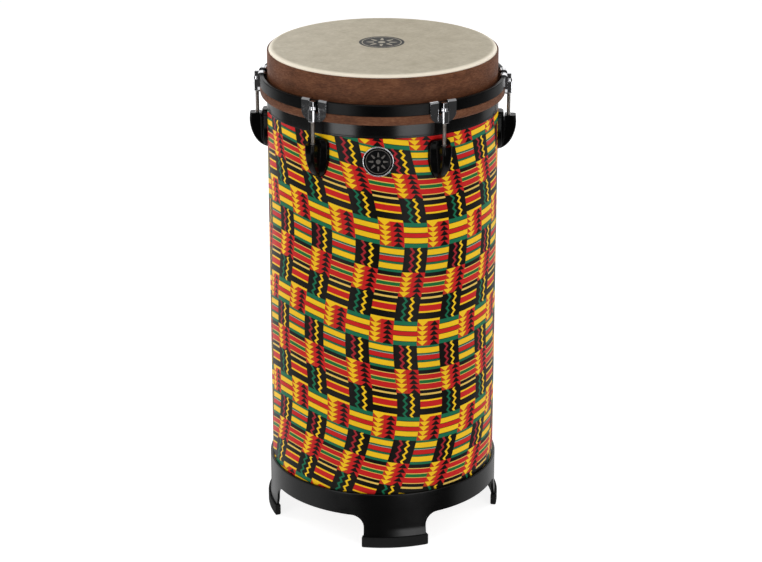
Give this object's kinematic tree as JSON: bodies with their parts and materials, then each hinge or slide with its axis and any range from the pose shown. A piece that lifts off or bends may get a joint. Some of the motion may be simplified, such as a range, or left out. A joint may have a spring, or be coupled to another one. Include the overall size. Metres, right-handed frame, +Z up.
{
  "type": "floor hand drum",
  "caption": "Free-standing cylindrical hand drum with a rod-tuned head, cloth-patterned shell and an arched footed base.",
  "frame": {"origin": "on the drum's axis at floor level, under the rubber feet", "axes": "+Z up along the drum's axis, badge toward -Y, +X to the right of someone facing the badge"},
  "size_m": [0.3594, 0.329, 0.6661],
  "materials": {
    "skin": "matt coated film with faint fibre clouds",
    "collar_fibre": "satin pressed fibre, dark brown",
    "hoop_paint": "black powder coat",
    "chrome": "polished",
    "rod_steel": "plated, rolled threads",
    "lug_plastic": "gloss black",
    "zinc_steel": "zinc plated",
    "shell_fibre": "raw pressed fibre",
    "cloth_print": "printed cloth pattern under a satin film",
    "black_finish": "satin black film",
    "bearing_fibre": "raw pressed fibre, waxed edge",
    "badge_metal": "polished rim",
    "badge_plate": "gloss black enamel",
    "base_plastic": "satin black moulding",
    "foot_rubber": "matt black rubber"
  },
  "bodies": {
    "shell": {"shell_tube": "shell_fibre", "pattern_wrap": "cloth_print", "neck_band": "black_finish", "bearing_ring": "bearing_fibre", "lug_1": "lug_plastic", "lug_2": "lug_plastic", "lug_3": "lug_plastic", "lug_4": "lug_plastic", "lug_5": "lug_plastic", "lug_6": "lug_plastic", "lug_nuts": "zinc_steel", "lug_screws": "zinc_steel", "lug_screw_washers": "zinc_steel", "badge_rim": "badge_metal", "badge_plate": "badge_plate", "base_ring": "base_plastic", "foot_pad_1": "foot_rubber", "foot_pad_2": "foot_rubber", "foot_pad_3": "foot_rubber", "foot_pad_4": "foot_rubber", "base_screws": "zinc_steel"},
    "head": {"drum_skin": "skin", "head_collar": "collar_fibre", "tension_hoop": "hoop_paint", "claw_1": "chrome", "claw_2": "chrome", "claw_3": "chrome", "claw_4": "chrome", "claw_5": "chrome", "claw_6": "chrome", "rod_washers": "chrome"},
    "rod_1": {"tension_rod_1": "rod_steel"},
    "rod_2": {"tension_rod_2": "rod_steel"},
    "rod_3": {"tension_rod_3": "rod_steel"},
    "rod_4": {"tension_rod_4": "rod_steel"},
    "rod_5": {"tension_rod_5": "rod_steel"},
    "rod_6": {"tension_rod_6": "rod_steel"}
  },
  "joints": [
    {"name": "head_travel", "type": "slide", "parent": "shell", "child": "head", "axis": [0, 0, 1], "range_m": [0, 0.02]},
    {"name": "rod_1_spin", "type": "hinge", "parent": "head", "child": "rod_1", "pos_m": [0.08453, -0.1464, 0.621], "axis": [0, 0, 1], "range_deg": [0, 9000]},
    {"name": "rod_2_spin", "type": "hinge", "parent": "head", "child": "rod_2", "pos_m": [0.16905, 0, 0.621], "axis": [0, 0, 1], "range_deg": [0, 9000]},
    {"name": "rod_3_spin", "type": "hinge", "parent": "head", "child": "rod_3", "pos_m": [0.08453, 0.1464, 0.621], "axis": [0, 0, 1], "range_deg": [0, 9000]},
    {"name": "rod_4_spin", "type": "hinge", "parent": "head", "child": "rod_4", "pos_m": [-0.08453, 0.1464, 0.621], "axis": [0, 0, 1], "range_deg": [0, 9000]},
    {"name": "rod_5_spin", "type": "hinge", "parent": "head", "child": "rod_5", "pos_m": [-0.16905, 0, 0.621], "axis": [0, 0, 1], "range_deg": [0, 9000]},
    {"name": "rod_6_spin", "type": "hinge", "parent": "head", "child": "rod_6", "pos_m": [-0.08453, -0.1464, 0.621], "axis": [0, 0, 1], "range_deg": [0, 9000]}
  ],
  "couplings": [
    {"joint": "rod_1_spin", "follows": "head_travel", "rad_per_m": 7854},
    {"joint": "rod_2_spin", "follows": "head_travel", "rad_per_m": 7854},
    {"joint": "rod_3_spin", "follows": "head_travel", "rad_per_m": 7854},
    {"joint": "rod_4_spin", "follows": "head_travel", "rad_per_m": 7854},
    {"joint": "rod_5_spin", "follows": "head_travel", "rad_per_m": 7854},
    {"joint": "rod_6_spin", "follows": "head_travel", "rad_per_m": 7854}
  ]
}
